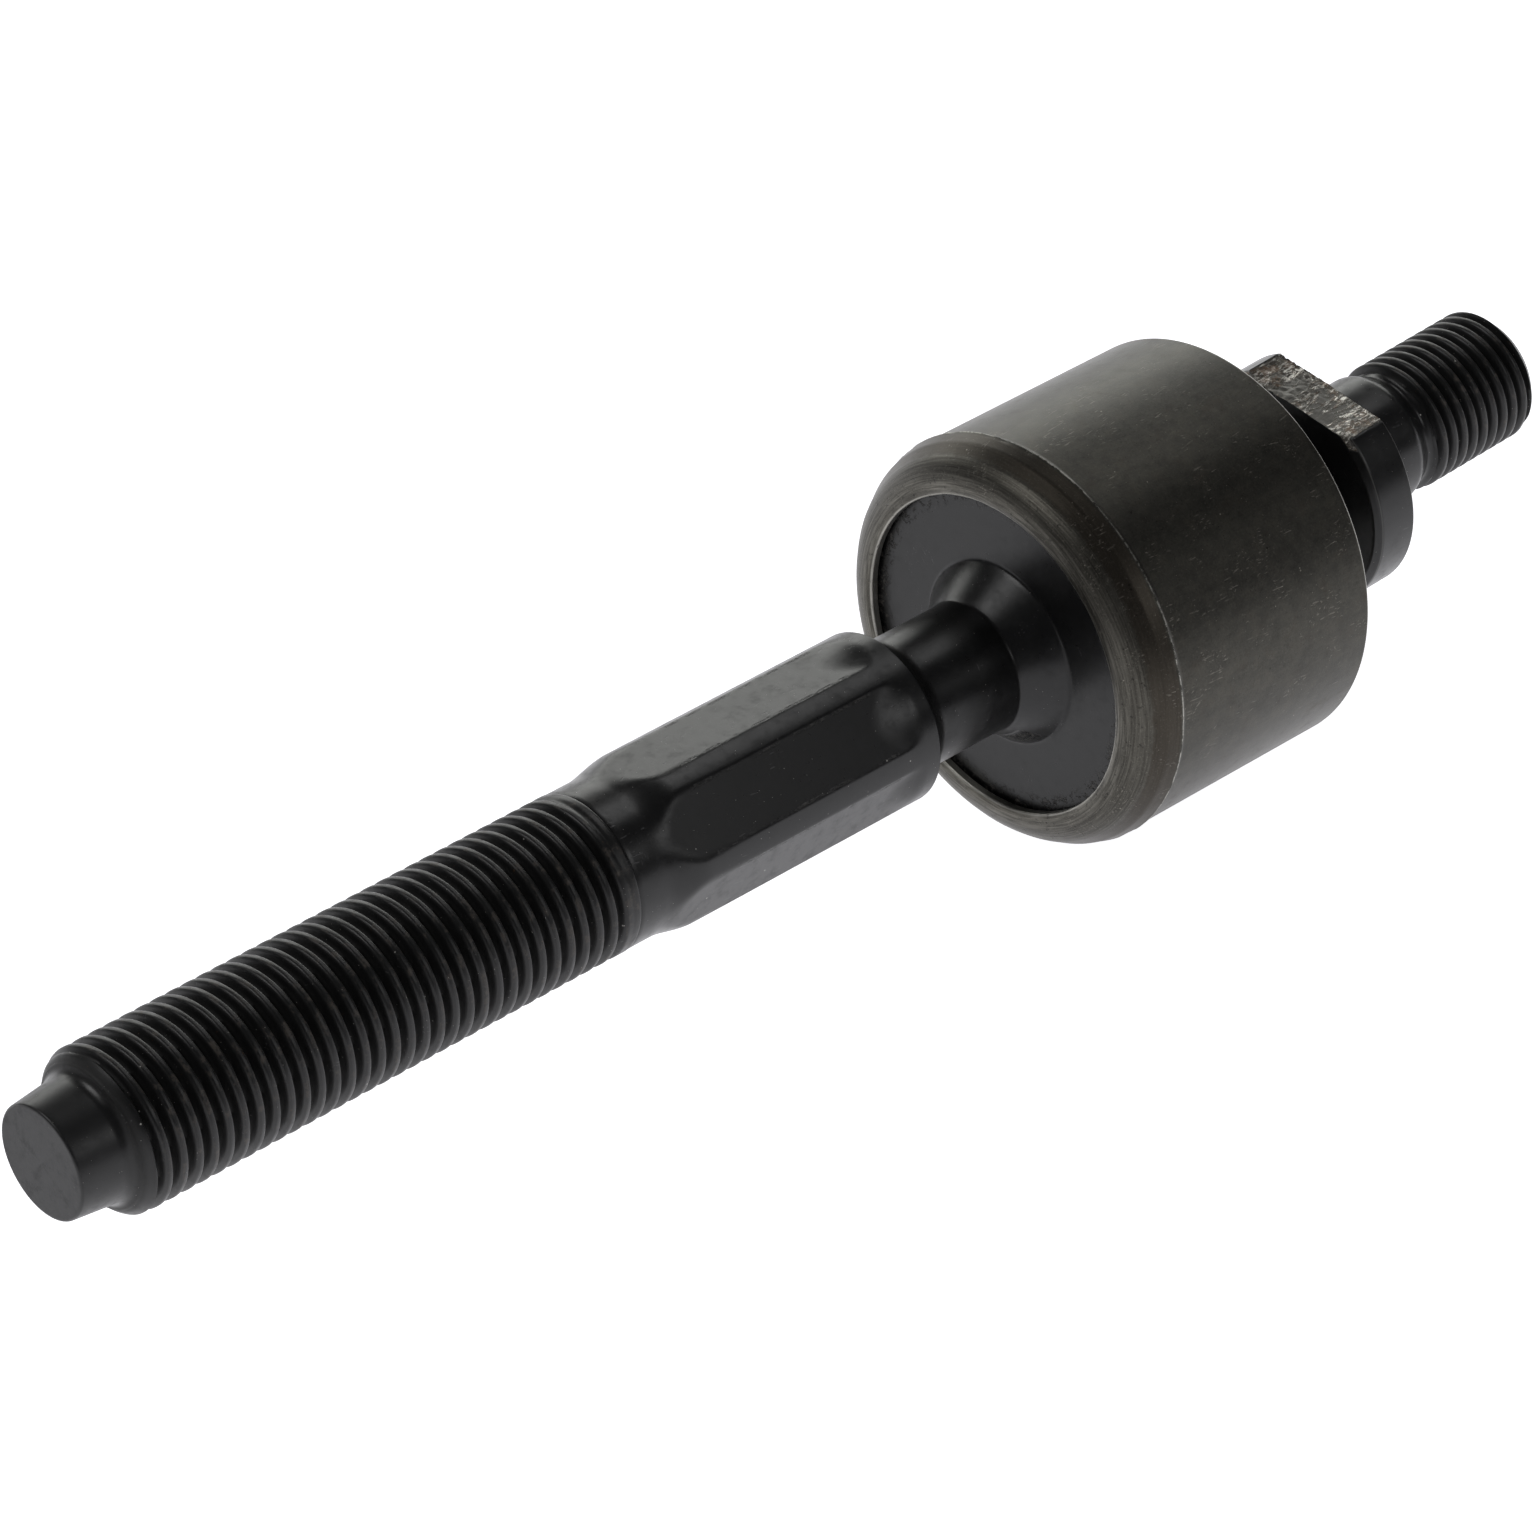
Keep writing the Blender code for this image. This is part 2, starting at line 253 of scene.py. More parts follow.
def tie_rod_outline():
    fillet = (DOG_LENGTH, DOG_ROOT_R + DOG_FILLET_R)
    outline = [(0.0, DOG_TIP_R - 0.6), (0.0, DOG_TIP_R - 0.4)]
    outline += arc(0.26, DOG_TIP_R - 0.26, 0.26, 180, 95, 5)
    outline += straight(outline[-1], (fillet[0], DOG_ROOT_R), 0.5)
    outline += arc(*fillet, DOG_FILLET_R, 270, 342, 10)
    shoulder_r = outline[-1][1] + 0.03
    for x in stations(THREAD_START, THREAD_FADE[1], ROD_PITCH / STATIONS_PER_PITCH):
        share = min((x - THREAD_START) / (THREAD_FULL - 0.3 - THREAD_START), 1.0)
        outline.append((x, between(shoulder_r, ROD_MAJOR_R, math.sin(share * math.pi / 2))))
    run_out = (THREAD_FADE[1] + 0.1, ROD_MAJOR_R)
    outline += straight(run_out, (SHANK_START - 0.06, ROD_MAJOR_R), 0.15)
    outline += [(SHANK_START, ROD_MAJOR_R - 0.03), (SHANK_START + 0.03, SHANK_R - 0.05)]
    outline += straight((SHANK_START + 0.15, SHANK_R), (SHANK_END, SHANK_R), 0.4)
    for x in stations(SHANK_END, HEX_START, 0.17):
        outline.append((x, between(SHANK_R, HEX_R, smooth_step(x, SHANK_END, HEX_START))))
    outline += straight((HEX_START, HEX_R), (HEX_ROUNDED_END, HEX_R), 0.15)
    outline += straight((HEX_ROUNDED_END, HEX_R), (SCOOP_START - 0.3, HEX_R), 1.6)
    outline += straight((SCOOP_START - 0.3, HEX_R), (HEX_END - 0.28, HEX_R), 0.18)
    outline += arc(HEX_END - 0.2, HEX_R - 0.2, 0.2, 90, 20, 4)
    neck_start = HEX_END + NECK_FILLET_R
    outline += arc(neck_start, NECK_R + NECK_FILLET_R, NECK_FILLET_R, 204, 270, 14)
    outline += straight((neck_start, NECK_R), (BOSS_START, NECK_R), 0.8)
    outline += arc(BOSS_START, NECK_R + BOSS_FILLET_R, BOSS_FILLET_R, 270, 306, 7)
    foot = arc(FLANGE_FRONT - BOSS_FOOT_R, BOSS_R + 0.28, BOSS_FOOT_R, 308, 360, 7)
    outline += straight(outline[-1], foot[0], 0.3) + foot
    outline += straight((FLANGE_FRONT, BOSS_R + 0.5), (FLANGE_FRONT, FLANGE_R - 0.2), 1.0)
    groove_r = FLANGE_R - GROOVE_DEPTH
    outline += [(FLANGE_FRONT + 0.1, FLANGE_R), (GROOVE_X - GROOVE_HALF, FLANGE_R)]
    outline += [(GROOVE_X - GROOVE_HALF, groove_r), (GROOVE_X + GROOVE_HALF, groove_r)]
    outline += [(GROOVE_X + GROOVE_HALF, FLANGE_R), (ROD_HIGH.x, FLANGE_R)]
    return without_repeats(outline)


def rod_ring(x, radius):
    """The rod's ring of points where its outline passes (x, radius)."""
    on_hex = SHANK_END + 0.7 < x < HEX_END + 1.0
    angles = circle_angles(FINE if on_hex else COARSE, HEX_FACE_ANGLE)
    radii = np.full(len(angles), radius)
    if THREAD_START <= x <= THREAD_FADE[1]:
        depth = THREAD_DEPTH * ROD_PITCH * (1 - thread_height(x, angles, ROD_PITCH))
        depth *= smooth_step(x, THREAD_START, THREAD_FULL) * (1 - smooth_step(x, *THREAD_FADE))
        radii = np.minimum(radii, ROD_MAJOR_R - depth)
    elif SHANK_END - 0.5 < x < HEX_END:
        soft = 0.03 + 0.15 * smooth_step(x, 68.0, 61.0) + 0.10 * smooth_step(x, 83.0, 85.0)
        for side in range(6):
            face_angle = HEX_FACE_ANGLE + 60 * side
            slope = np.tan(angles - math.radians(face_angle))
            across = HEX_FLAT * np.clip(slope, -0.45, 0.45)  # the flat is narrower than this
            past = np.maximum(x - SCOOP_START - SCOOP_BOW * across**2, 0.0)
            radii = flat_cut(radii, angles, HEX_FLAT + SCOOP_RISE * past**2, face_angle, soft)
    return ring_points(x, radii, angles)


def make_tie_rod():
    rings = [rod_ring(x, radius) for x, radius in tie_rod_outline()]
    return mesh_object("tie_rod_forging", rings, closed=False)


def housing_outline():
    """The closed outline, from the lip's inside round the outside to the mouth and back."""
    lip_back = FLANGE_FRONT - GAP
    counterbore_r = FLANGE_R + GAP
    seat_back = ROD_HIGH.x + GAP
    outline = straight((lip_back, LIP_R), (LIP_FRONT + 0.35, LIP_R), 0.15)
    outline += arc(LIP_FRONT + 0.3, LIP_R + 0.2, 0.2, 260, 195, 4)
    outline += arc(*LIP_BEND, 180, 125, 16)
    outline += straight(outline[-1], LIP_CREASE, 0.3)
    outline += straight(LIP_CREASE, LIP_KNEE, 0.2)
    outline += straight(LIP_KNEE, (SHOULDER[0] - 0.1, SHOULDER[1] - 0.05), 0.2)
    outline += [SHOULDER, (SHOULDER[0] + 0.12, SHOULDER[1] - 0.06)]
    outline += [(SHOULDER[0] + 0.22, SHOULDER[1] - 0.15), (SHOULDER[0] + 0.34, HOUSING_R)]
    outline += straight((SHOULDER[0] + 0.5, HOUSING_R), (HOUSING_REAR - 0.42, HOUSING_R), 0.55)
    outline += arc(HOUSING_REAR - 0.35, HOUSING_R - 0.35, 0.35, 90, 0, 6)
    outline += straight((HOUSING_REAR, HOUSING_R - 0.45), (HOUSING_REAR, FLARE_R + 0.3), 0.6)
    outline += arc(HOUSING_REAR - 0.25, FLARE_R + 0.2, 0.25, 0, -50, 4)
    outline += straight(outline[-1], (MOUTH_X + 0.6, MOUTH_R), 0.4)
    outline += [(MOUTH_X, MOUTH_R), (BORE_END, BORE_R), (seat_back, BORE_R)]
    outline += [(seat_back, counterbore_r), (lip_back, counterbore_r)]
    return without_repeats(outline)


def make_housing():
    angles = circle_angles(FINE)
    lip_wear = 0.05 * wobble(angles, 2.5, 3.1) + 0.03 * wobble(angles, 14.0, 5.7)
    crease_wear = 0.05 * wobble(angles, 4.0, 9.3)
    nicks = wobble(angles, 16.0, 1.7) + 0.6 * wobble(angles, 40.0, 2.9) - 0.1
    nicks = 0.13 * np.clip(nicks, 0.0, 1.0)
    rings = []
    for x, radius in housing_outline():
        radii = np.full(FINE, radius)
        if radius < LIP_R + 0.4 and x < FLANGE_FRONT:
            radii = radii + lip_wear * (1.0 if radius < LIP_R + 0.25 else 0.5)
        if math.dist((x, radius), LIP_CREASE) < 0.6:
            radii = radii + crease_wear
        if abs(x - SHOULDER[0]) < 0.15:
            radii = radii - nicks
        rings.append(ring_points(x, radii, angles))
    return mesh_object("housing_shell", rings, closed=True, sharp_angle=50)


def ball_stud_outline():
    neck_angle = math.degrees(math.asin(STUD_NECK_R / BALL_R))
    outline = arc(0.0, 0.0, BALL_R, 172, neck_angle + 3, 48)
    neck_x = BALL_R * math.cos(math.radians(neck_angle))
    outline += arc(neck_x + 0.6, STUD_NECK_R + 0.6, 0.6, 230, 270, 4)
    outline += straight(outline[-1], (COLLAR_FRONT - 1.0, STUD_NECK_R), 0.5)
    outline += arc(COLLAR_FRONT - 1.0, STUD_NECK_R + 0.95, 0.95, 270, 360, 8)
    chamfer_r = COLLAR_R - COLLAR_CHAMFER
    outline += straight((COLLAR_FRONT, STUD_NECK_R + 1.1), (COLLAR_FRONT, chamfer_r - 0.05), 0.3)
    outline += straight((COLLAR_FRONT + 0.05, chamfer_r), (COLLAR_RIM, COLLAR_R - 0.03), 0.2)
    outline += straight((COLLAR_RIM + 0.1, COLLAR_R), (COLLAR_REAR - 0.2, COLLAR_R), 0.11)
    outline += arc(COLLAR_REAR - 0.15, COLLAR_R - 0.15, 0.15, 80, 5, 4)
    outline += straight((COLLAR_REAR, COLLAR_R - 0.25), (COLLAR_REAR, STUD_SHANK_R + 0.7), 0.3)
    outline += arc(COLLAR_REAR + 0.6, STUD_SHANK_R + 0.6, 0.6, 180, 270, 6)
    outline += straight(outline[-1], (STUD_RELIEF[0], STUD_SHANK_R), 0.4)
    groove_r = STUD_MAJOR_R - THREAD_DEPTH * STUD_PITCH
    for x in stations(STUD_RELIEF[0] + 0.12, STUD_RELIEF[1], 0.12):
        outline.append((x, between(STUD_SHANK_R, groove_r, smooth_step(x, *STUD_RELIEF))))
    spacing = STUD_PITCH / STATIONS_PER_PITCH
    thread = stations(STUD_THREAD[0] - 0.4, STUD_THREAD[1] - 0.15, spacing)
    for x in thread:
        lead_in = groove_r + 0.1 + 1.3 * (x - thread[0])
        chamfer = STUD_MAJOR_R - max(x - STUD_THREAD[1] + STUD_END_CHAMFER, 0.0)
        outline.append((x, min(lead_in, chamfer, STUD_MAJOR_R)))
    end_r = outline[-1][1]
    outline += [(STUD_THREAD[1], end_r - inward) for inward in (0.16, 0.3, 0.6)]
    return without_repeats(outline)


def torn_height(x, across):
    """How far the spanner flat stands off its plane: smooth at one side and torn at the other."""
    place = Vector((x * 1.3, across * 0.9, 4.4))
    torn = smooth_step(-across, -2.5, 4.5)
    coarse = noise.fractal(place * 0.9, 1.0, 2.0, 3)
    fine = noise.fractal(place * 3.1, 0.9, 2.0, 3)
    ridges = abs(noise.noise(Vector((x * 0.9 + across * 0.5, across * 2.2, 1.2))))
    bulge = COLLAR_BULGE * torn * smooth_step(x, COLLAR_REAR - 1.6, COLLAR_REAR - 0.4)
    sunk = COLLAR_SINK * smooth_step(-across, 1.0, 4.5)
    rough = (0.03 + 0.10 * torn) * coarse + (0.02 + 0.07 * torn) * fine - 0.16 * torn * ridges
    return rough + bulge - sunk


def stud_ring(x, radius):
    angles = circle_angles(COARSE if x > STUD_RELIEF[0] else FINE, COLLAR_FLAT_ANGLE)
    radii = np.full(len(angles), radius)
    if STUD_THREAD[0] - 0.45 <= x < STUD_THREAD[1]:
        depth = THREAD_DEPTH * STUD_PITCH * (1 - thread_height(x, angles, STUD_PITCH))
        radii = np.minimum(radii, STUD_MAJOR_R - depth)
    elif COLLAR_FRONT <= x <= COLLAR_REAR:
        radii = flat_cut(radii, angles, COLLAR_FLAT, COLLAR_FLAT_ANGLE + 180)
        upper = flat_cut(radii, angles, COLLAR_FLAT, COLLAR_FLAT_ANGLE)
        turn = angles - math.radians(COLLAR_FLAT_ANGLE)
        across = radius * np.sin(turn)
        torn = np.array([torn_height(x, a) for a in across])
        cut = (upper < radii) & (np.cos(turn) > 0.5)
        lifted = np.minimum(upper + torn / np.maximum(np.cos(turn), 0.5), radii)
        radii = np.where(cut, lifted, radii)
    return ring_points(x, radii, angles)


def tilt_to_stud_axis():
    turn = Vector((1, 0, 0)).rotation_difference(STUD_AXIS).to_matrix().to_4x4()
    return Matrix.Translation(BALL_CENTRE * MM) @ turn


def make_ball_stud():
    rings = [stud_ring(x, radius) for x, radius in ball_stud_outline()]
    stud = mesh_object("ball_stud_forging", rings, closed=False)
    stud.data.transform(tilt_to_stud_axis())
    return stud


# Finishes. Every texture works in millimetres of the piece's own coordinates.


class Finish:
    """A Principled material and the few kinds of node that its details are built from."""

    def __init__(self, name, colour, roughness, metallic=0.0, specular=0.5, tilted=False):
        self.material = bpy.data.materials.new(name)
        self.material.use_nodes = True
        self.tree = self.material.node_tree
        self.shader = self.tree.nodes["Principled BSDF"]
        self.shader.inputs["Base Color"].default_value = (*colour, 1.0)
        self.shader.inputs["Roughness"].default_value = roughness
        self.shader.inputs["Metallic"].default_value = metallic
        self.shader.inputs["Specular IOR Level"].default_value = specular
        here = self.node("ShaderNodeTexCoord").outputs["Object"]
        if tilted:
            place = tilt_to_stud_axis()
            untilt = self.node("ShaderNodeMapping", vector_type="TEXTURE")
            untilt.inputs["Location"].default_value = place.to_translation()
            untilt.inputs["Rotation"].default_value = place.to_euler()
            self.link(here, untilt.inputs["Vector"])
            here = untilt.outputs["Vector"]
        self.place = self.vector("SCALE", here, 1 / MM)
        split = self.node("ShaderNodeSeparateXYZ")
        self.link(self.place, split.inputs[0])
        self.x, self.y, self.z = split.outputs
        flat = self.node("ShaderNodeCombineXYZ")
        self.link(self.y, flat.inputs[1])
        self.link(self.z, flat.inputs[2])
        self.radial = flat.outputs[0]
        self.radius = self.vector("LENGTH", self.radial)

    def node(self, kind, **settings):
        made = self.tree.nodes.new(kind)
        for setting, value in settings.items():
            setattr(made, setting, value)
        return made

    def link(self, source, target):
        self.tree.links.new(source, target)

    def feed(self, value, socket):
        if isinstance(value, bpy.types.NodeSocket):
            self.link(value, socket)
        else:
            socket.default_value = value

    def set(self, name, value):
        self.feed(value, self.shader.inputs[name])

    def vector(self, operation, first, second=None):
        made = self.node("ShaderNodeVectorMath", operation=operation)
        self.feed(first, made.inputs[0])
        if second is not None:
            self.feed(second, made.inputs["Scale"] if operation == "SCALE" else made.inputs[1])
        return made.outputs["Value" if operation in ("LENGTH", "DOT_PRODUCT") else "Vector"]

    def math(self, operation, first, second=0.0, clamp=False):
        made = self.node("ShaderNodeMath", operation=operation, use_clamp=clamp)
        self.feed(first, made.inputs[0])
        self.feed(second, made.inputs[1])
        return made.outputs[0]

    def times(self, *values):
        product = values[0]
        for value in values[1:]:
            product = self.math("MULTIPLY", product, value)
        return product

    def plus(self, *values):
        total = values[0]
        for value in values[1:]:
            total = self.math("ADD", total, value)
        return total

    def stretched(self, scales):
        """The place, scaled axis by axis: a small scale draws a pattern out along its axis."""
        return self.vector("MULTIPLY", self.place, scales)

    def round_grain(self, across, around):
        """A place whose patterns run round the axis, with no seam, at these two scales."""
        unit = self.vector("NORMALIZE", self.radial)
        along = self.node("ShaderNodeCombineXYZ")
        self.link(self.times(self.plus(self.x, self.radius), across), along.inputs[0])
        return self.vector("ADD", self.vector("SCALE", unit, around), along.outputs[0])

    def noise(self, scale, detail=3.0, rough=0.55, place=None, distortion=0.0):
        made = self.node("ShaderNodeTexNoise")
        self.link(self.place if place is None else place, made.inputs["Vector"])
        made.inputs["Scale"].default_value = scale
        made.inputs["Detail"].default_value = detail
        made.inputs["Roughness"].default_value = rough
        made.inputs["Distortion"].default_value = distortion
        return made.outputs["Fac"]

    def step(self, value, low, high):
        """0 below low and 1 above high, or the other way round where low is the larger."""
        made = self.node("ShaderNodeMapRange", interpolation_type="SMOOTHSTEP")
        self.link(value, made.inputs["Value"])
        made.inputs["From Min"].default_value = min(low, high)
        made.inputs["From Max"].default_value = max(low, high)
        made.inputs["To Min"].default_value = 0.0 if low < high else 1.0
        made.inputs["To Max"].default_value = 1.0 if low < high else 0.0
        return made.outputs["Result"]

    def band(self, value, low, high, soft):
        """1 between low and high, and 0 outside."""
        after_low = self.step(value, low - soft, low + soft)
        return self.times(after_low, self.step(value, high + soft, high - soft))

    def mix(self, share, first, second):
        """A colour between two others."""
        made = self.node("ShaderNodeMix", data_type="RGBA")
        self.feed(share, made.inputs[0])
        for colour, socket in ((first, made.inputs[6]), (second, made.inputs[7])):
            self.feed((*colour, 1.0) if isinstance(colour, tuple) else colour, socket)
        return made.outputs[2]

    def tinted(self, colour, value, low, high, share, tint):
        """The colour, with up to this share of a tint where the value passes from low to high."""
        return self.mix(self.times(self.step(value, low, high), share), colour, tint)

    def marked(self, colour, marks, share, tint):
        """The colour, with a tint on marks whose sum may pass 1."""
        return self.mix(self.math("MULTIPLY", marks, share, clamp=True), colour, tint)

    def specks(self, size, share):
        """Dots of about this size, in this share of the cells they could be in."""
        cells = self.node("ShaderNodeTexVoronoi")
        self.link(self.place, cells.inputs["Vector"])
        cells.inputs["Scale"].default_value = 1 / (size * 4)
        pick = self.node("ShaderNodeSeparateXYZ")
        self.link(cells.outputs["Color"], pick.inputs[0])
        dot = self.step(cells.outputs["Distance"], 0.16, 0.08)
        return self.times(dot, self.step(pick.outputs[0], 1 - share, 1 - share * 0.9))

    def scratches(self, direction, width, share):
        """Hairlines along one direction: drawn-out noise cut to its peaks, in about this share."""
        turned = self.node("ShaderNodeMapping")
        to_x = Vector(direction).rotation_difference(Vector((1, 0, 0)))
        turned.inputs["Rotation"].default_value = to_x.to_euler()
        self.link(self.place, turned.inputs["Vector"])
        drawn = self.vector("MULTIPLY", turned.outputs["Vector"], (0.03, 1.0, 1.0))
        streaks = self.noise(0.25 / width, 0.0, 0.5, drawn)
        gate = self.step(self.noise(0.35, 2.0), 1 - share, 1.1 - share)
        return self.times(self.step(streaks, 0.72, 0.79), gate)

    def bump(self, height, depth, below=None):
        """Relief from a height of 0 to 1 that stands for this many millimetres."""
        made = self.node("ShaderNodeBump")
        made.inputs["Strength"].default_value = 1.0
        made.inputs["Distance"].default_value = depth * MM
        self.link(height, made.inputs["Height"])
        if below is not None:
            self.link(below, made.inputs["Normal"])
        return made.outputs["Normal"]


def painted_forging(name, thread, major_r, tilted):
    """Satin black paint: orange peel, hairlines, dust, rubbed crests and dull roots.

    Returns the finish and what its caller adds to: colour, roughness, relief, grit and hairlines.
    """
    base = (0.006, 0.006, 0.0062)
    finish = Finish(name, base, PAINT_ROUGHNESS, specular=PAINT_SPECULAR, tilted=tilted)
    cloudy = finish.noise(0.35, 4.0)
    mottle = finish.noise(2.4, 5.0, 0.65)
    grit = finish.noise(5.0, 3.0)
    colour = finish.mix(cloudy, (0.0038, 0.0038, 0.0040), (0.0075, 0.0074, 0.0074))
    on_thread = finish.band(finish.x, thread[0] - 0.3, thread[1] + 0.3, 0.2)
    crest = finish.times(on_thread, finish.step(finish.radius, major_r - 0.16, major_r - 0.02))
    rubbed = finish.times(crest, finish.step(finish.noise(0.9, 4.0, 0.7), 0.5, 0.68))
    colour = finish.mix(finish.times(rubbed, 0.75), colour, (0.055, 0.046, 0.038))
    root = finish.times(on_thread, finish.step(finish.radius, major_r - 0.35, major_r - 0.8))
    colour = finish.mix(finish.times(root, 0.6), colour, (0.006, 0.0058, 0.0055))
    rust = finish.times(on_thread, finish.step(finish.noise(1.7, 5.0, 0.75), 0.64, 0.74))
    colour = finish.mix(finish.times(rust, 0.55), colour, (0.075, 0.038, 0.018))
    lines = finish.plus(
        finish.scratches((1.0, 0.15, -0.2), 0.045, 0.44),
        finish.scratches((0.1, 1.0, 1.0), 0.04, 0.38),
    )
    dust = finish.plus(finish.specks(0.055, 0.05), finish.specks(0.15, 0.014))
    colour = finish.marked(colour, lines, 0.3, (0.10, 0.10, 0.10))
    colour = finish.marked(colour, dust, 0.8, (0.42, 0.41, 0.38))
    roughness = finish.plus(
        PAINT_ROUGHNESS,
        finish.times(finish.step(finish.noise(0.8, 5.0, 0.7), 0.45, 0.75), 0.12),
        finish.times(mottle, 0.10),
        finish.times(rubbed, 0.12),
        finish.times(root, 0.2),
        finish.times(on_thread, 0.07),
    )
    relief = finish.bump(mottle, 0.0025)
    relief = finish.bump(grit, 0.0008, below=relief)
    return finish, colour, roughness, relief, grit, lines


def chipped_edges(finish):
    """Where paint is chipped off the hexagon's edges."""
    return finish.times(
        finish.band(finish.x, HEX_START + 1.0, SCOOP_START + 1.5, 0.3),
        finish.band(finish.radius, HEX_R - 0.11, HEX_R - 0.035, 0.02),
        finish.step(finish.noise(0.5, 2.0), 0.42, 0.6),
        finish.step(finish.noise(3.2, 5.0, 0.8), 0.46, 0.54),
    )


def cone_smudge(finish):
    """The height of the dark crust on the lower side of the cone's foot."""
    outward = finish.vector("NORMALIZE", finish.radial)
    around = finish.vector("DOT_PRODUCT", outward, (0.0, -0.56, -0.83))
    around = finish.plus(around, finish.times(finish.noise(1.5, 4.0, 0.7), 0.02))
    return finish.times(
        finish.band(finish.x, FLANGE_FRONT - 2.1, FLANGE_FRONT - 0.6, 0.4),
        finish.step(around, 0.982, 0.998),
        finish.noise(3.5, 5.0, 0.75),
    )


def flaked_rim(finish):
    """Where paint has flaked off the closing flange beside the rolled lip."""
    rim = finish.times(
        finish.band(finish.x, FLANGE_FRONT - 0.05, FLANGE_FRONT + 0.05, 0.02),
        finish.step(finish.radius, LIP_R - 1.6, LIP_R - 0.2),
    )
    return finish.times(rim, finish.step(finish.noise(1.5, 5.0, 0.75), 0.54, 0.60))


def tie_rod_finish():
    thread = (THREAD_START, THREAD_FADE[1])
    finish, colour, roughness, relief, grit, lines = painted_forging(
        "black_paint", thread, ROD_MAJOR_R, tilted=False
    )
    end_face = finish.step(finish.x, 0.03, 0.0)
    dog_point = finish.step(finish.x, DOG_LENGTH + 0.8, DOG_LENGTH - 0.2)
    chipped = chipped_edges(finish)
    smudge = cone_smudge(finish)
    smudged = finish.step(smudge, 0.15, 0.32)
    flaked = flaked_rim(finish)

    speckled = finish.step(finish.noise(4.0, 3.0), 0.5, 0.6)
    crust = finish.mix(speckled, (0.001, 0.001, 0.001), (0.11, 0.105, 0.095))
    under = finish.mix(grit, (0.004, 0.004, 0.004), (0.12, 0.11, 0.095))
    colour = finish.mix(finish.times(end_face, 0.9), colour, (0.016, 0.016, 0.0165))
    colour = finish.mix(finish.times(dog_point, 0.45), colour, (0.018, 0.018, 0.0185))
    colour = finish.mix(finish.times(chipped, 0.6), colour, (0.035, 0.033, 0.028))
    colour = finish.mix(smudged, colour, crust)
    colour = finish.mix(finish.times(flaked, 0.7), colour, under)
    finish.set("Base Color", colour)

    dusty = finish.times(finish.step(finish.x, FLANGE_FRONT - 0.3, FLANGE_FRONT), -0.10)
    dulled = finish.plus(dusty, finish.times(smudged, -0.22))
    finish.set("Specular IOR Level", finish.plus(PAINT_SPECULAR, dulled))
    roughness = finish.plus(
        roughness,
        finish.times(end_face, 0.14),
        finish.times(flaked, 0.2),
        finish.times(dog_point, 0.08),
    )
    finish.set("Roughness", roughness)

    on_hex = finish.band(finish.x, HEX_START, HEX_END - 0.3, 0.5)
    brushed = finish.noise(1.0, 3.0, 0.6, finish.stretched((7.0, 0.7, 0.7)))
    swirl = finish.noise(1.0, 3.0, 0.6, finish.round_grain(9.0, 1.2))
    relief = finish.bump(finish.times(brushed, on_hex), 0.0025, below=relief)
    relief = finish.bump(lines, -0.006, below=relief)
    relief = finish.bump(finish.times(swirl, end_face), 0.004, below=relief)
    relief = finish.bump(chipped, -0.03, below=relief)
    relief = finish.bump(smudge, 0.6, below=relief)
    relief = finish.bump(flaked, -0.05, below=relief)
    finish.set("Normal", relief)
    return finish.material


def upper_flat(finish, height):
    """Where the collar's upper flat was sheared, with a ragged edge."""
    ragged = finish.plus(finish.radius, finish.times(finish.noise(2.5, 4.0), 0.3))
    return finish.times(
        finish.band(finish.x, COLLAR_FRONT + 0.05, COLLAR_REAR + 0.02, 0.04),
        finish.step(ragged, COLLAR_R + 0.1, COLLAR_R),
        finish.step(height, COLLAR_FLAT - 0.85, COLLAR_FLAT - 0.65),
    )


def torn_patches(finish, across, drawn_out):
    """Where that flat is torn down to bare metal, more so at its sides and its rear."""
    side = finish.step(finish.math("ABSOLUTE", across), 1.0, 5.5)
    patches = finish.noise(0.4, 5.0, 0.75, drawn_out, distortion=0.8)
    rearward = finish.times(finish.step(finish.x, COLLAR_REAR - 2.0, COLLAR_REAR), 0.08)
    return finish.step(finish.plus(patches, finish.times(side, 0.12), rearward), 0.49, 0.62)


def torn_metal(finish, across, drawn_out):
    """The torn metal's colour: glints and rust, with bright flakes on one half and in a corner."""
    glint = finish.noise(1.6, 5.0, 0.82, drawn_out, distortion=0.5)
    glint = finish.step(glint, 0.50, 0.66)
    metal = finish.mix(glint, (0.085, 0.078, 0.066), (0.85, 0.82, 0.76))
    rusty = finish.noise(0.9, 4.0, 0.7)
    metal = finish.tinted(metal, rusty, 0.48, 0.60, 0.65, (0.19, 0.135, 0.095))
    far_end = finish.times(
        finish.band(across, -4.6, -2.4, 0.8),
        finish.step(finish.x, COLLAR_REAR - 2.4, COLLAR_REAR - 1.2),
    )
    near_end = finish.band(across, 0.0, 5.0, 1.2)
    flakes = finish.step(finish.noise(1.25, 3.0, 0.7, drawn_out, distortion=1.0), 0.53, 0.59)
    flakes = finish.times(finish.plus(near_end, far_end), flakes)
    return finish.mix(finish.times(flakes, 0.9), metal, (1.0, 0.97, 0.90))


def collar_rims(finish):
    """The collar's two edges, where its paint is rubbed thin."""
    rear_rim = finish.times(
        finish.band(finish.x, COLLAR_REAR - 0.12, COLLAR_REAR, 0.05),
        finish.step(finish.radius, COLLAR_R - 0.15, COLLAR_R - 0.05),
    )
    front_rim = finish.times(
        finish.band(finish.x, COLLAR_RIM - 0.04, COLLAR_RIM + 0.06, 0.03),
        finish.step(finish.radius, COLLAR_R - 0.1, COLLAR_R - 0.03),
    )
    return finish.plus(rear_rim, front_rim)


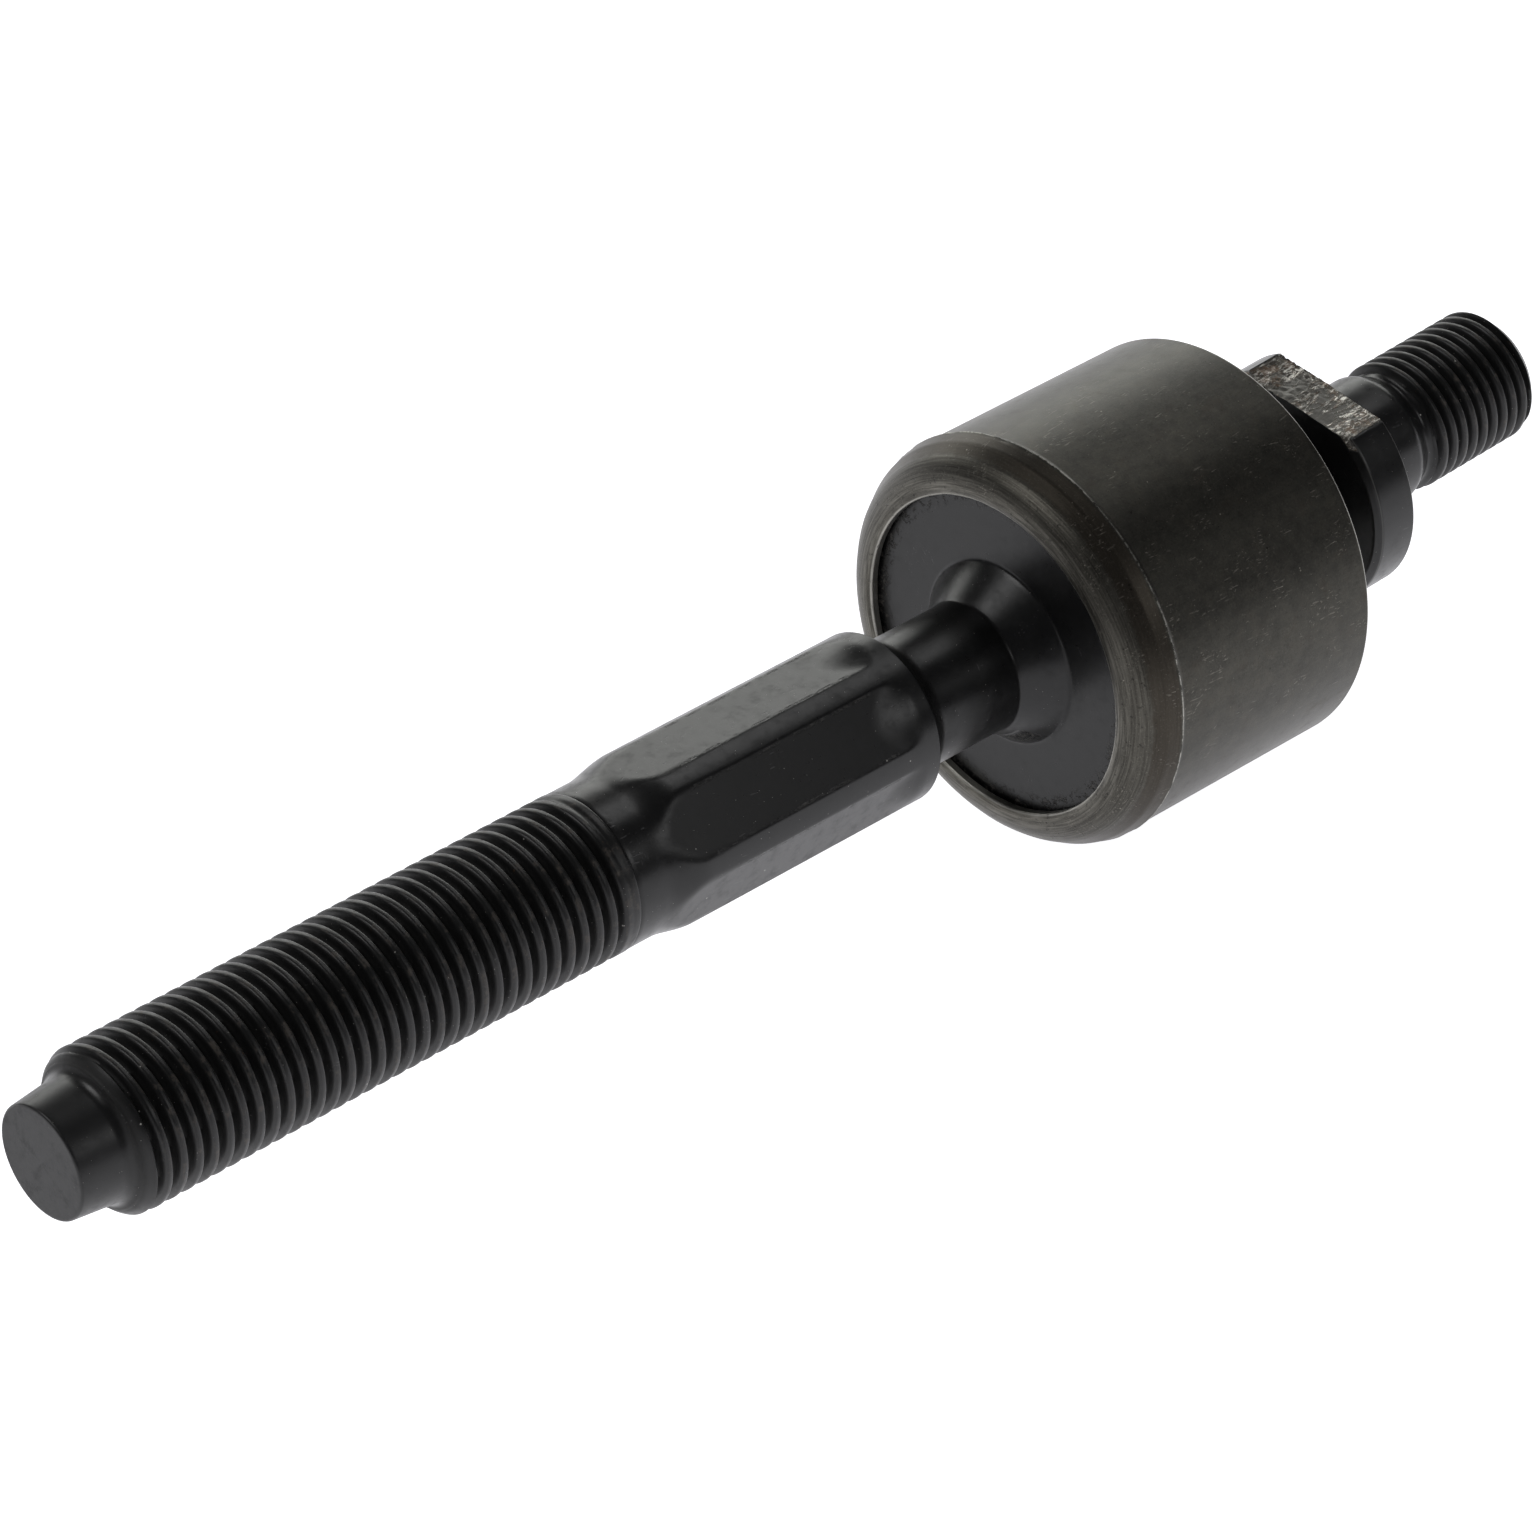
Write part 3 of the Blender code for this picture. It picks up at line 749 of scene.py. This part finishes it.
def ball_stud_finish():
    finish, colour, roughness, relief, _, lines = painted_forging(
        "stud_black", STUD_THREAD, STUD_MAJOR_R, tilted=True
    )
    facing = math.radians(COLLAR_FLAT_ANGLE)
    up, along = (math.cos(facing), math.sin(facing)), (-math.sin(facing), math.cos(facing))
    height = finish.vector("DOT_PRODUCT", finish.place, (0.0, *up))
    across = finish.vector("DOT_PRODUCT", finish.place, (0.0, *along))
    drawn_out = finish.stretched((0.6, 1.6, 1.6))
    sheared = upper_flat(finish, height)
    bare = finish.times(sheared, torn_patches(finish, across, drawn_out))

    streaks = finish.noise(2.0, 5.0, 0.7, drawn_out)
    smeared = finish.mix(streaks, (0.065, 0.063, 0.058), (0.17, 0.165, 0.15))
    flat_colour = finish.mix(bare, smeared, torn_metal(finish, across, drawn_out))
    colour = finish.mix(sheared, colour, flat_colour)
    colour = finish.mix(finish.times(collar_rims(finish), 0.4), colour, (0.13, 0.13, 0.12))
    finish.set("Base Color", colour)
    finish.set("Metallic", finish.times(sheared, 0.8))
    finish.set("Roughness", finish.plus(roughness, finish.times(sheared, 0.16)))

    relief = finish.bump(lines, -0.005, below=relief)
    chips = finish.times(bare, finish.noise(2.2, 6.0, 0.75, drawn_out))
    relief = finish.bump(chips, 0.12, below=relief)
    finish.set("Normal", relief)
    return finish.material


def barrel_colour(finish, mottle, peppered):
    """Dark steel with clouds, drawn-out streaks, blotches and pepper."""
    cloudy = finish.noise(0.16, 5.0, 0.6)
    drawn = finish.noise(1.0, 4.0, 0.6, finish.stretched((0.35, 3.0, 3.0)))
    blotched = finish.noise(0.8, 3.0, 0.5)
    colour = finish.mix(cloudy, (0.035, 0.034, 0.029), (0.056, 0.054, 0.046))
    tints = [
        (mottle, 0.35, 0.85, 0.35, (0.080, 0.075, 0.063)),
        (drawn, 0.48, 0.70, 0.12, (0.095, 0.090, 0.077)),
        (drawn, 0.48, 0.30, 0.12, (0.022, 0.020, 0.017)),
        (blotched, 0.45, 0.75, 0.35, (0.075, 0.069, 0.056)),
        (blotched, 0.50, 0.25, 0.35, (0.024, 0.023, 0.020)),
        (peppered, 0.54, 0.68, 0.30, (0.12, 0.115, 0.095)),
        (peppered, 0.46, 0.34, 0.45, (0.018, 0.016, 0.013)),
    ]
    for tint in tints:
        colour = finish.tinted(colour, *tint)
    return colour


def with_brown_band(finish, colour, frayed, grain, peppered):
    """The colour, with the brown band between the lip's crease and the ridge."""
    past_crease = finish.step(frayed, LIP_CREASE[0] - 0.2, LIP_CREASE[0] + 0.35)
    before_ridge = finish.step(finish.x, SHOULDER[0] - 0.1, SHOULDER[0] - 0.25)
    browned = finish.mix(grain, (0.020, 0.0165, 0.013), (0.062, 0.053, 0.041))
    browned = finish.tinted(browned, peppered, 0.55, 0.66, 0.4, (0.11, 0.10, 0.085))
    return finish.mix(finish.times(past_crease, before_ridge, 0.85), colour, browned)


def with_rubbed_lip(finish, colour, lip, grain, peppered):
    """The colour, with the rings that the rolling tool rubbed into the lip."""
    rings = finish.step(grain, 0.25, 0.78)
    polished = finish.times(finish.step(finish.radius, *POLISHED_R), finish.step(grain, 0.40, 0.70))
    rubbed = finish.mix(rings, (0.034, 0.0315, 0.026), (0.095, 0.09, 0.077))
    rubbed = finish.mix(finish.times(polished, 0.055), rubbed, (1.0, 0.96, 0.84))
    rubbed = finish.tinted(rubbed, peppered, 0.54, 0.66, 0.3, (0.20, 0.19, 0.16))
    outside = finish.step(finish.radius, LIP_R - 0.4, LIP_R)
    return finish.mix(finish.times(lip, outside), colour, rubbed)


def bright_edges(finish, lip):
    """Where the nicked ridge, the lip's inner edge and the rear edge are worn bright."""
    ridge = finish.times(
        finish.band(finish.x, SHOULDER[0] - 0.05, SHOULDER[0] + 0.1, 0.05),
        finish.step(finish.radius, SHOULDER[1] - 0.12, SHOULDER[1] - 0.04),
        finish.step(finish.noise(1.4, 5.0, 0.8), 0.42, 0.56),
    )
    inner_edge = finish.times(finish.band(finish.radius, LIP_R - 0.2, LIP_R + 0.16, 0.08), lip)
    rear_edge = finish.times(
        finish.step(finish.x, HOUSING_REAR - 0.3, HOUSING_REAR - 0.12),
        finish.step(finish.radius, HOUSING_R - 0.4, HOUSING_R - 0.25),
    )
    bright = finish.math("MAXIMUM", finish.times(inner_edge, 0.6), rear_edge)
    return finish.math("MAXIMUM", ridge, bright)


def housing_finish():
    """Dark phosphated steel: a lip rubbed by the rolling tool, a brown band, a scuffed barrel."""
    finish = Finish("dark_steel", (0.05, 0.046, 0.04), 0.42, 0.85)
    mottle = finish.noise(1.3, 6.0, 0.7)
    peppered = finish.noise(5.0, 4.0, 0.8)
    grain = finish.noise(1.0, 5.0, 0.62, finish.round_grain(4.5, 3.5))
    fine_grain = finish.noise(1.0, 2.0, 0.6, finish.round_grain(26.0, 14.0))
    stain = finish.step(finish.noise(0.55, 5.0, 0.7), 0.50, 0.80)
    frayed = finish.plus(finish.x, finish.times(finish.noise(1.1, 4.0, 0.75), 0.9), -0.45)
    lip = finish.step(frayed, LIP_CREASE[0] + 0.35, LIP_CREASE[0] - 0.2)
    pitted = finish.times(lip, finish.step(finish.noise(2.2, 5.0, 0.75), 0.6, 0.7))
    bright = bright_edges(finish, lip)
    lines = finish.plus(
        finish.scratches((1.0, 0.12, -0.10), 0.045, 0.48),
        finish.scratches((0.1, 1.0, -1.0), 0.04, 0.40),
        finish.scratches((1.0, -0.30, 0.25), 0.04, 0.46),
    )
    pits = finish.plus(finish.specks(0.10, 0.10), finish.specks(0.2, 0.025))
    dust = finish.plus(finish.specks(0.07, 0.045), finish.specks(0.15, 0.02))

    colour = barrel_colour(finish, mottle, peppered)
    colour = finish.mix(finish.times(stain, 0.35), colour, (0.045, 0.034, 0.026))
    colour = with_brown_band(finish, colour, frayed, grain, peppered)
    colour = with_rubbed_lip(finish, colour, lip, grain, peppered)
    colour = finish.mix(finish.times(pitted, 0.6), colour, (0.03, 0.028, 0.025))
    colour = finish.mix(finish.times(bright, 0.85), colour, (0.46, 0.45, 0.41))
    colour = finish.marked(colour, pits, 0.7, (0.010, 0.009, 0.007))
    colour = finish.marked(colour, lines, 0.4, (0.20, 0.185, 0.16))
    colour = finish.marked(colour, dust, 0.6, (0.30, 0.28, 0.24))
    finish.set("Base Color", colour)

    roughness = finish.plus(
        0.30,
        finish.times(mottle, 0.07),
        finish.times(peppered, 0.12),
        finish.times(stain, 0.08),
        finish.times(bright, -0.10),
    )
    finish.set("Roughness", roughness)
    relief = finish.bump(mottle, 0.004)
    relief = finish.bump(peppered, 0.007, below=relief)
    relief = finish.bump(fine_grain, 0.0025, below=relief)
    relief = finish.bump(finish.times(grain, lip), 0.02, below=relief)
    relief = finish.bump(pitted, -0.04, below=relief)
    relief = finish.bump(lines, -0.008, below=relief)
    finish.set("Normal", relief)
    return finish.material


def turned_steel_finish():
    finish = Finish("bare_steel", (0.3, 0.3, 0.31), 0.32, 1.0)
    rings = finish.noise(1.0, 3.0, 0.6, finish.round_grain(18.0, 1.5))
    oily = finish.noise(0.7, 4.0, 0.6)
    colour = finish.mix(rings, (0.22, 0.22, 0.225), (0.40, 0.40, 0.41))
    finish.set("Base Color", finish.tinted(colour, oily, 0.5, 0.7, 0.4, (0.20, 0.16, 0.10)))
    finish.set("Roughness", finish.plus(0.2, finish.times(oily, 0.25)))
    finish.set("Normal", finish.bump(rings, 0.006))
    return finish.material


def seat_plastic_finish():
    finish = Finish("acetal", (0.78, 0.77, 0.72), 0.42)
    cloudy = finish.noise(0.5, 4.0, 0.6)
    greased = finish.step(finish.noise(0.9, 4.0, 0.65), 0.5, 0.7)
    colour = finish.mix(cloudy, (0.70, 0.69, 0.63), (0.82, 0.81, 0.77))
    finish.set("Base Color", finish.mix(finish.times(greased, 0.6), colour, (0.50, 0.42, 0.25)))
    finish.set("Roughness", finish.plus(0.48, finish.times(greased, -0.3)))
    finish.set("Normal", finish.bump(finish.noise(6.0, 3.0), 0.01))
    finish.shader.inputs["Subsurface Weight"].default_value = 0.15
    finish.shader.inputs["Subsurface Scale"].default_value = 1.0 * MM
    return finish.material


def rubber_finish():
    finish = Finish("seal_rubber", (0.02, 0.02, 0.02), 0.7)
    bloom = finish.noise(1.6, 5.0, 0.7)
    finish.set("Base Color", finish.mix(bloom, (0.012, 0.012, 0.012), (0.035, 0.034, 0.032)))
    finish.set("Roughness", finish.plus(0.55, finish.times(bloom, 0.25)))
    finish.set("Normal", finish.bump(finish.noise(12.0, 3.0), 0.01))
    return finish.material


def add_piece(obj, material, body, node):
    obj.data.materials.append(material)
    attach(obj, body)
    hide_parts(node)


def refinish(node, material):
    """A carried-over CAD node keeps its mesh and gets a better material."""
    for place in frame["nodes"][node].material_slots:
        place.link = "OBJECT"
        place.material = material


# The studio, in metres. The camera was fitted to the photo's outlines.

FLOOR_HALF = 1.6
STUDIO_MIDDLE = Vector((0.08, 0.0, 0.0))
CAMERA_PLACE = Vector((-0.238846, -0.332301, 0.314068))
CAMERA_AZIMUTH = -43.3314
CAMERA_ELEVATION = 34.4494
CAMERA_LENS = 160.69  # millimetres, on a sensor of the next width
SENSOR_WIDTH = 36.0


def floor_finish():
    """A bright white table that glows a little, as a light table does."""
    material = bpy.data.materials.new("white_table")
    material.use_nodes = True
    shader = material.node_tree.nodes["Principled BSDF"]
    shader.inputs["Base Color"].default_value = (0.85, 0.85, 0.85, 1.0)
    shader.inputs["Roughness"].default_value = 0.9
    shader.inputs["Emission Color"].default_value = (0.965, 0.96, 1.0, 1.0)
    shader.inputs["Emission Strength"].default_value = 0.95
    return material


def make_floor():
    half = FLOOR_HALF
    corners = [(-half, -half), (half, -half), (half, half), (-half, half)]
    mesh = bpy.data.meshes.new("floor")
    mesh.from_pydata([(x, y, FLOOR_Z * MM) for x, y in corners], [], [(0, 1, 2, 3)])
    mesh.materials.append(floor_finish())
    floor = bpy.data.objects.new("floor", mesh)
    bpy.context.scene.collection.objects.link(floor)


def add_softbox(name, place, target, size, power):
    """A rectangular light at place, facing target."""
    light = bpy.data.lights.new(name, "AREA")
    light.shape = "RECTANGLE"
    light.size, light.size_y = size
    light.energy = power
    obj = bpy.data.objects.new(name, light)
    obj.location = place
    obj.rotation_euler = (Vector(target) - Vector(place)).to_track_quat("-Z", "Y").to_euler()
    bpy.context.scene.collection.objects.link(obj)


def light_studio():
    """Each softbox has its degrees round from +X and up, its distance, size and power."""
    softboxes = {
        "back": (58, 19, 0.95, (1.5, 0.42), 5.1),
        "right_front": (-71, 32, 0.8, (0.38, 0.22), 0.58),
        "overhead": (14, 60, 0.8, (0.36, 0.22), 0.62),
        "left": (150, 50, 0.8, (0.35, 0.30), 1.4),
    }
    for name, (around, up, distance, size, power) in softboxes.items():
        place = Vector((distance, 0.0, 0.0))
        place.rotate(Euler((0.0, -math.radians(up), math.radians(around))))
        add_softbox(name + "_softbox", STUDIO_MIDDLE + place, STUDIO_MIDDLE, size, power)
    bpy.data.lights["back_softbox"].color = (0.99, 1.0, 0.965)
    world = bpy.data.worlds.new("studio")
    world.use_nodes = True
    background = world.node_tree.nodes["Background"]
    background.inputs["Color"].default_value = (0.95, 0.95, 1.0, 1.0)
    background.inputs["Strength"].default_value = 0.06
    bpy.context.scene.world = world
    bpy.context.scene.view_settings.view_transform = "Standard"


def add_camera():
    azimuth, elevation = math.radians(CAMERA_AZIMUTH), math.radians(CAMERA_ELEVATION)
    forward = Vector((-math.sin(azimuth), math.cos(azimuth), 0.0)) * math.cos(elevation)
    forward.z = -math.sin(elevation)
    camera = bpy.data.cameras.new("camera")
    camera.sensor_width = SENSOR_WIDTH
    camera.lens = CAMERA_LENS
    camera.clip_start = 0.01
    obj = bpy.data.objects.new("camera", camera)
    obj.location = CAMERA_PLACE
    obj.rotation_euler = forward.to_track_quat("-Z", "Y").to_euler()
    bpy.context.scene.collection.objects.link(obj)
    bpy.context.scene.camera = obj


def main():
    add_piece(make_tie_rod(), tie_rod_finish(), "rod_and_housing", "tie_rod")
    add_piece(make_housing(), housing_finish(), "rod_and_housing", "housing")
    add_piece(make_ball_stud(), ball_stud_finish(), "stud", "ball_stud")
    plastic, steel = seat_plastic_finish(), turned_steel_finish()
    refinish("front_seat", plastic)
    refinish("rear_seat", plastic)
    refinish("pressure_cup", steel)
    refinish("disc_spring", steel)
    refinish("seal_ring", rubber_finish())
    make_floor()
    light_studio()
    add_camera()


main()
